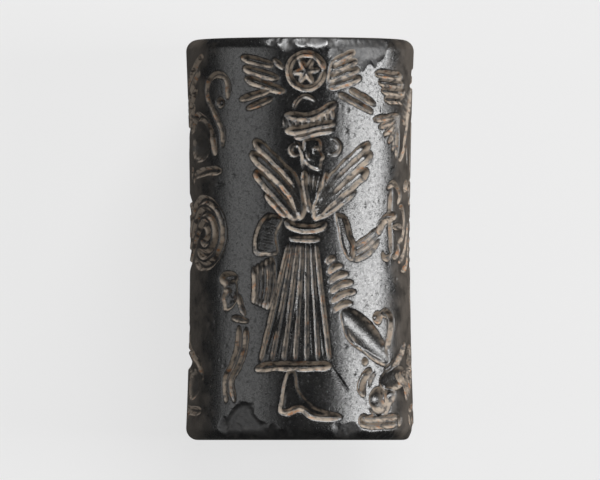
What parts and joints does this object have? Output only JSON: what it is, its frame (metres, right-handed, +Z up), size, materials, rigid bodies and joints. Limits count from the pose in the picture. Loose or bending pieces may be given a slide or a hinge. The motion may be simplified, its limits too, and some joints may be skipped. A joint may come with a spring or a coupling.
{
  "type": "cylinder seal",
  "caption": "Small pierced cylinder of polished dark stone, its side engraved all round with a frieze of figures, lying on a small flat.",
  "frame": {"origin": "on the surface it rests on, under the middle of the stone", "axes": "+Y along the bore, towards the end over the figures' heads; +Z up, out through the winged figure; +X the way that figure faces"},
  "size_m": [0.0148, 0.026, 0.0147],
  "materials": {
    "stone": "polished dark iron-ore stone, grey sheen, brown earth left in the cuts"
  },
  "bodies": {
    "root": {"seal": "stone"}
  },
  "joints": []
}
